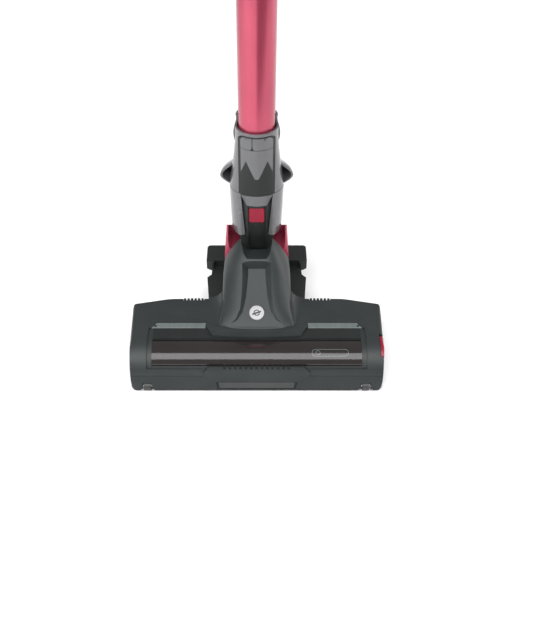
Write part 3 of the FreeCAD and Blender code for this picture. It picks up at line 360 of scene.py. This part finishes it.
class HEAD_OT_neck(bpy.types.Operator):
    """Yoke, neck and collar shells"""
    bl_idname = "floor_head.neck"
    bl_label = "Neck"
    nodes = ("yoke", "neck_shell", "neck_core", "spine_strip", "chevron_lip", "release_button",
             "collar_front", "collar_panel", "collar_rear", "swivel_barrel")

    def execute(self, context):
        sizes = context.scene.head_sizes
        for node in self.nodes:
            rounded_copy(node, sizes.edge)
        return {"FINISHED"}


class HEAD_OT_collar(bpy.types.Operator):
    """Raised crown and upper band on the collar's front panel, and a dark sheet painted on as the shade in its
    slit
    """
    bl_idname = "floor_head.collar"
    bl_label = "Collar front"
    stops = (-15.2, -10.2, -2.0, 0.0, 2.0, 10.2, 15.2)
    lows = (173.0, 185.2, 167.4, 166.7, 167.4, 185.2, 173.0)
    band_low, band_high = 197.0, 209.0
    band_width = 30.4
    seam = 0.35                                             # half gap between crown and band
    corner_x, corner_run, corner_drop = 11.5, 3.7, 3.5      # the band's rounded upper corners
    # place and size of the dark sheet painted on as the shade inside the slit
    slit_x, slit_half, slit_flare, flare_share = -4.4, 0.35, 1.3, 0.25
    lift, slit_lift = 0.00012, 0.00032
    plate_thick, slit_thick = 0.0002, 0.0001

    def low_at(self, x):
        for index in range(len(self.stops) - 1):
            x0, x1 = self.stops[index:index + 2]
            if x <= x1 + 1e-6:
                share = (x - x0) / (x1 - x0)
                return self.lows[index] * (1 - share) + self.lows[index + 1] * share
        return self.lows[-1]

    def execute(self, context):
        surface = front_surface("collar_panel", self.lift)
        deep = front_surface("collar_panel", self.slit_lift)
        pieces = len(self.stops) - 1

        def crown(u, v):
            index = min(int(u * pieces), pieces - 1)
            share = u * pieces - index
            x = self.stops[index] * (1 - share) + self.stops[index + 1] * share
            low = self.low_at(x)
            return surface(x, low + (self.band_low - self.seam - low) * v)

        def band(u, v):
            x = (u - 0.5) * self.band_width
            past = max(0.0, (abs(x) - self.corner_x) / self.corner_run)
            high = self.band_high - self.corner_drop * past ** 2
            return surface(x, self.band_low + self.seam + (high - self.band_low - self.seam) * v)

        # the slit is not cut: this gives the outline of a dark sheet that stands in for the slit's shade
        def slit(u, v):
            half = self.slit_half
            if v <= self.flare_share:
                half = half + self.slit_flare * (self.flare_share - v) / self.flare_share
            z = self.band_low + 0.2 + (self.band_high - self.band_low) * v
            return deep(self.slit_x + (u - 0.5) * 2 * half, z)

        wrapped_plate("collar_crown", pieces * 6, 12, crown, self.plate_thick, "neck", "neck_gloss")
        wrapped_plate("collar_band", 24, 5, band, self.plate_thick, "neck", "neck_gloss")
        # dark glossy sheet laid over the band as painted shade for the slit
        wrapped_plate("collar_slit_painted_shade", 2, 12, slit, self.slit_thick, "neck", "neck_dark")
        return {"FINISHED"}


class HEAD_OT_marks(bpy.types.Operator):
    """Pill-shaped outline on the window, ring on the badge and dots on the light strips"""
    bl_idname = "floor_head.marks"
    bl_label = "Marks"
    window_r, window_y, window_z = 21.63, -58.0, 18.0       # just outside the window, and its axis
    mark_turn = 28.0                                        # degrees from upright to the marks' middle
    half_length, half_height = 14.3, 3.4
    line_width, mark_thick = 0.5, 0.00005
    pill_x, ring_x, ring_r = 71.4, 59.5, 2.1
    badge_slope, badge_lift, badge_thick = 34.5, 0.35, 0.0003
    rim_r, spot_r, band_width = 6.0, 2.2, 0.9
    spoke_length, spoke_width, spoke_slant = 8.6, 1.5, 3.0
    dot_x, dot_y, dot_z = 101.2, -35.2, 41.55
    dot_low_r, dot_high_r, dot_height = 1.5, 1.3, 0.5

    def execute(self, context):
        radius = self.window_r
        half_length, half_height = self.half_length, self.half_height
        arc = math.pi * half_height
        run = 4 * half_length + 2 * arc

        def outline(distance, grow):
            r = half_height + grow
            if distance < 2 * half_length:
                return distance - half_length, r
            distance -= 2 * half_length
            if distance < arc:
                turn = distance / half_height
                return half_length + r * math.sin(turn), r * math.cos(turn)
            distance -= arc
            if distance < 2 * half_length:
                return half_length - distance, -r
            turn = (distance - 2 * half_length) / half_height
            return -half_length - r * math.sin(turn), -r * math.cos(turn)

        def on_window(x, s):
            turn = math.radians(self.mark_turn) - s / radius
            return Vector((x, self.window_y - radius * math.sin(turn),
                           self.window_z + radius * math.cos(turn))) * MM

        def pill(u, v):
            x, s = outline(u * run, (v - 0.5) * self.line_width)
            return on_window(self.pill_x + x, s)

        def ring(u, v):
            turn = 2 * math.pi * u
            r = self.ring_r + (v - 0.5) * self.line_width
            return on_window(self.ring_x + r * math.cos(turn), r * math.sin(turn))

        wrapped_plate("window_pill", 96, 1, pill, self.mark_thick, "head", "light_lens", closed=True)
        wrapped_plate("window_ring", 32, 1, ring, self.mark_thick, "head", "light_lens", closed=True)

        badge = frame["nodes"]["badge"]
        corners = [v.co for v in badge.data.vertices]
        centre = sum(corners, Vector()) / len(corners)
        slope = math.radians(self.badge_slope)
        normal = Vector((0, -math.sin(slope), math.cos(slope)))
        across = Vector((1, 0, 0))
        along = normal.cross(across)
        top = centre + normal * (max((c - centre).dot(normal) for c in corners) + self.badge_lift * MM)

        def rim(u, v):
            turn = 2 * math.pi * u
            out = across * math.cos(turn) + along * math.sin(turn)
            return top + out * (self.rim_r + v * self.band_width) * MM

        def spoke(u, v):
            rise = (v - 0.5) * self.spoke_width + (u - 0.5) * self.spoke_slant
            return top + (across * (u - 0.5) * self.spoke_length + along * rise) * MM

        def spot(u, v):
            turn = 2 * math.pi * u
            out = across * math.cos(turn) + along * math.sin(turn)
            return top + out * (self.spot_r + v * self.band_width) * MM

        wrapped_plate("badge_rim", 64, 1, rim, self.badge_thick, "head", "badge_metal", closed=True)
        wrapped_plate("badge_spoke", 4, 1, spoke, self.badge_thick, "head", "neck_dark")
        wrapped_plate("badge_spot", 32, 1, spot, self.badge_thick, "head", "neck_dark", closed=True)

        for side, name in ((-1, "left"), (1, "right")):
            bm = bmesh.new()
            bmesh.ops.create_cone(bm, cap_ends=True, segments=24, radius1=self.dot_low_r * MM,
                                  radius2=self.dot_high_r * MM, depth=self.dot_height * MM)
            bmesh.ops.translate(bm, verts=bm.verts, vec=Vector((side * self.dot_x, self.dot_y, self.dot_z)) * MM)
            finish_piece("light_dot_" + name, bm, None, "head", "inner_plastic")
        return {"FINISHED"}


class HEAD_OT_wand(bpy.types.Operator):
    """Wand tube and its upper socket"""
    bl_idname = "floor_head.wand"
    bl_label = "Wand"
    nodes = ("wand_tube", "wand_socket", "socket_catch")

    def execute(self, context):
        sizes = context.scene.head_sizes
        for node in self.nodes:
            rounded_copy(node, sizes.edge)
        return {"FINISHED"}


class HEAD_OT_studio(bpy.types.Operator):
    """Floor, lights and camera"""
    bl_idname = "floor_head.studio"
    bl_label = "Studio"
    # name, place, point it faces, width, height, power
    lights = (
        ("front_top", (0, -0.84, 1.3), (0, -0.06, 0.04), 1.7, 0.85, 26),
        ("key_left", (-1.0, -0.6, 0.7), (0, 0.05, 0.25), 0.7, 1.0, 10),
        ("rim_right", (1.1, 0.35, 0.5), (0, 0.05, 0.2), 0.25, 0.9, 5),
        ("floor_back", (0, 0.75, 1.1), (0, 2.0, 0.5), 1.8, 0.5, 12),
    )
    world_strength = 0.5
    floor_half = 6.0
    card_x, card_y, card_z, card_width, card_depth = 0.6, -1.2, 0.002, 1.2, 1.6
    lens, shift_x = 41.66, 0.029
    camera_place = (0, -0.5579, 0.5488)
    camera_down = 43.3                                      # degrees below level

    def area_light(self, name, place, target, size, size_y, power):
        light = bpy.data.lights.new(name, "AREA")
        light.shape = "RECTANGLE"
        light.size = size
        light.size_y = size_y
        light.energy = power
        lamp = bpy.data.objects.new(name, light)
        lamp.location = place
        lamp.rotation_euler = (Vector(target) - Vector(place)).to_track_quat("-Z", "Y").to_euler()
        bpy.context.scene.collection.objects.link(lamp)
        return lamp

    def dark_card(self, scene):
        """Black card on the floor in front, right of the middle, mirrored in the tube's right half."""
        bm = bmesh.new()
        bmesh.ops.create_grid(bm, x_segments=1, y_segments=1, size=0.5)
        for vert in bm.verts:
            vert.co = Vector((self.card_x + vert.co.x * self.card_width,
                              self.card_y + vert.co.y * self.card_depth, self.card_z))
        mesh = bpy.data.meshes.new("studio_card")
        bm.to_mesh(mesh)
        bm.free()
        card = bpy.data.objects.new("studio_card", mesh)
        scene.collection.objects.link(card)
        n = Nodes("card_black")
        n.shader.inputs["Base Color"].default_value = (0.01, 0.01, 0.01, 1)
        n.shader.inputs["Roughness"].default_value = 0.9
        mesh.materials.append(n.material)

    def execute(self, context):
        scene = context.scene
        bm = bmesh.new()
        bmesh.ops.create_grid(bm, x_segments=1, y_segments=1, size=self.floor_half)
        mesh = bpy.data.meshes.new("studio_floor")
        bm.to_mesh(mesh)
        bm.free()
        floor = bpy.data.objects.new("studio_floor", mesh)
        scene.collection.objects.link(floor)
        n = Nodes("studio_white")
        slow = n.noise(2, 1.0)
        n.link(n.colour_mix(slow.outputs["Fac"], (0.90, 0.90, 0.90), (0.92, 0.92, 0.92)),
               n.shader.inputs["Base Color"])
        n.shader.inputs["Roughness"].default_value = 0.9
        mesh.materials.append(n.material)
        self.dark_card(scene)

        world = bpy.data.worlds.new("studio")
        world.use_nodes = True
        world.node_tree.nodes["Background"].inputs["Color"].default_value = (1, 1, 1, 1)
        world.node_tree.nodes["Background"].inputs["Strength"].default_value = self.world_strength
        scene.world = world
        for light in self.lights:
            self.area_light(*light)

        camera_data = bpy.data.cameras.new("view")
        camera_data.lens = self.lens
        camera_data.shift_x = self.shift_x
        camera = bpy.data.objects.new("view", camera_data)
        camera.location = self.camera_place
        camera.rotation_euler = (math.radians(90 - self.camera_down), 0, 0)
        scene.collection.objects.link(camera)
        scene.camera = camera
        scene.view_settings.view_transform = "Standard"
        return {"FINISHED"}


class HEAD_PT_panel(bpy.types.Panel):
    """Lists the build steps and the settings"""
    bl_idname = "HEAD_PT_panel"
    bl_label = "Floor head"
    bl_space_type = "VIEW_3D"
    bl_region_type = "UI"
    bl_category = "Floor head"

    def draw(self, context):
        layout = self.layout
        for group in (context.scene.head_finish, context.scene.head_sizes):
            for key in type(group).__annotations__:
                layout.prop(group, key)
        for operator in OPERATORS:
            layout.operator(operator.bl_idname)


MATERIALS = {}
OPERATORS = (HEAD_OT_finishes, HEAD_OT_shells, HEAD_OT_neck, HEAD_OT_collar, HEAD_OT_marks, HEAD_OT_wand,
             HEAD_OT_studio)
CLASSES = (HeadFinish, HeadSizes, *OPERATORS, HEAD_PT_panel)


def register():
    for cls in CLASSES:
        bpy.utils.register_class(cls)
    bpy.types.Scene.head_finish = bpy.props.PointerProperty(type=HeadFinish)
    bpy.types.Scene.head_sizes = bpy.props.PointerProperty(type=HeadSizes)


def unregister():
    del bpy.types.Scene.head_finish
    del bpy.types.Scene.head_sizes
    for cls in reversed(CLASSES):
        bpy.utils.unregister_class(cls)


def main():
    register()
    for operator in OPERATORS:
        group, name = operator.bl_idname.split(".")
        getattr(getattr(bpy.ops, group), name)()


if __name__ == "__main__":
    main()
